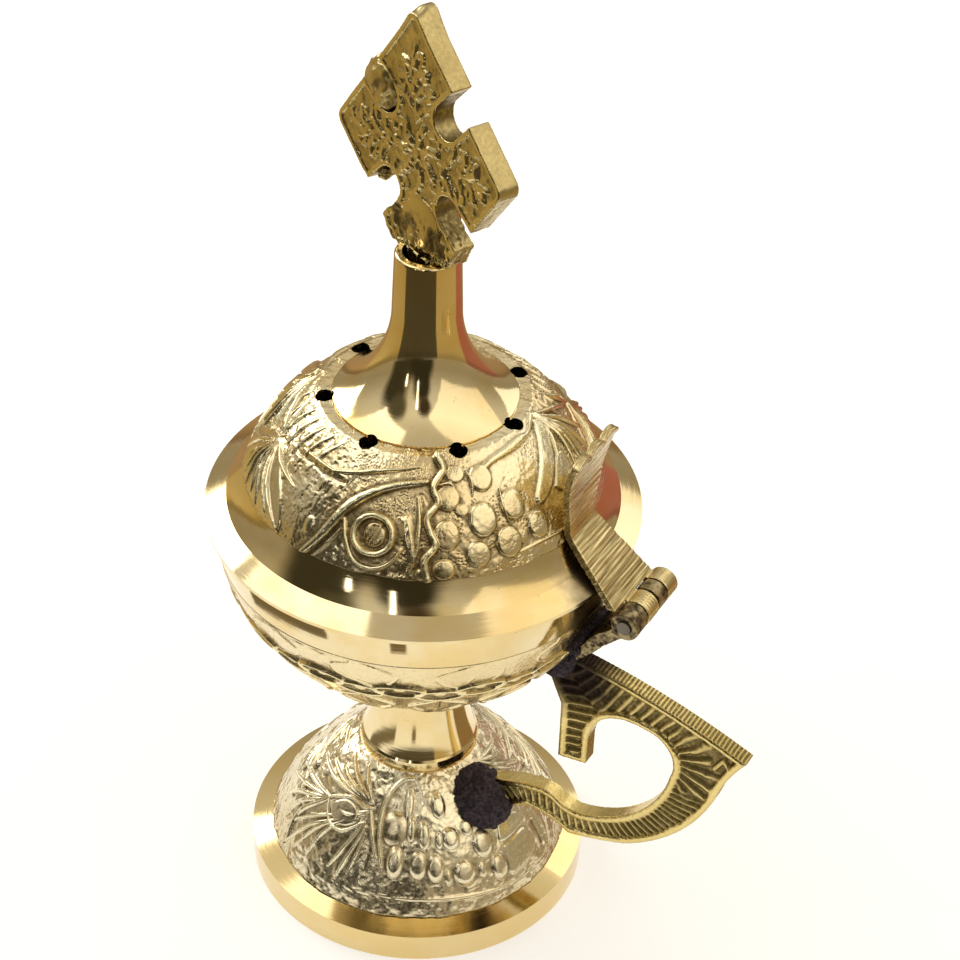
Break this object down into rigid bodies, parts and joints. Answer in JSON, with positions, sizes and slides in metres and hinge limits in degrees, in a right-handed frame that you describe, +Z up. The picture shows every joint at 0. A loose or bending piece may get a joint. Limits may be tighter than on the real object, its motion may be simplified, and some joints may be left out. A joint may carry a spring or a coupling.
{
  "type": "standing thurible censer",
  "caption": "Brass standing incense censer: embossed bowl on a domed foot, hinged vented lid with a flared neck and cross, and a flat cast side handle.",
  "frame": {"origin": "on the bowl's axis, in the plane that the foot stands on", "axes": "+Z up the bowl's axis, +X from the axis towards the hinge and the side handle, +Y along the hinge pin"},
  "size_m": [0.1035, 0.076, 0.1742],
  "materials": {
    "foot_brass": "cast relief, silvery wash on the high spots, polished golden rim",
    "polished_brass": "turned and buffed to a mirror",
    "bowl_brass": "embossed leaf bands under a buffed rim band",
    "lid_brass": "embossed vine and grapes over a buffed bevel",
    "cast_brass": "rough cast with dark patina in the recesses",
    "filed_brass": "coarse file marks across the plate",
    "oxide_braze": "rough blackened brazing metal",
    "cup_steel": "dull spun sheet, heat-tinted",
    "zinc_steel": "plain zinc-plated fasteners",
    "pin_steel": "dark drawn wire"
  },
  "bodies": {
    "stand": {"foot": "foot_brass", "stem": "polished_brass", "bowl": "bowl_brass", "column_bolt": "zinc_steel", "column_washer": "zinc_steel", "column_nut": "zinc_steel", "hinge_bracket": "cast_brass", "hinge_pin": "pin_steel", "handle": "cast_brass", "braze_bracket": "oxide_braze", "braze_handle_top": "oxide_braze", "braze_handle_foot": "oxide_braze"},
    "lid": {"lid_dome": "lid_brass", "neck": "polished_brass", "cross": "cast_brass", "cross_stud": "zinc_steel", "lid_washer": "zinc_steel", "lid_nut": "zinc_steel", "lid_leaf": "filed_brass", "braze_leaf": "oxide_braze"},
    "ember_cup": {"fire_cup": "cup_steel"}
  },
  "joints": [
    {"name": "lid_hinge", "type": "hinge", "parent": "stand", "child": "lid", "pos_m": [0.0437, 0, 0.0787], "axis": [0, 1, 0], "range_deg": [0, 105]},
    {"name": "ember_cup_lift", "type": "slide", "parent": "stand", "child": "ember_cup", "axis": [0, 0, 1], "range_m": [0, 0.003]}
  ]
}
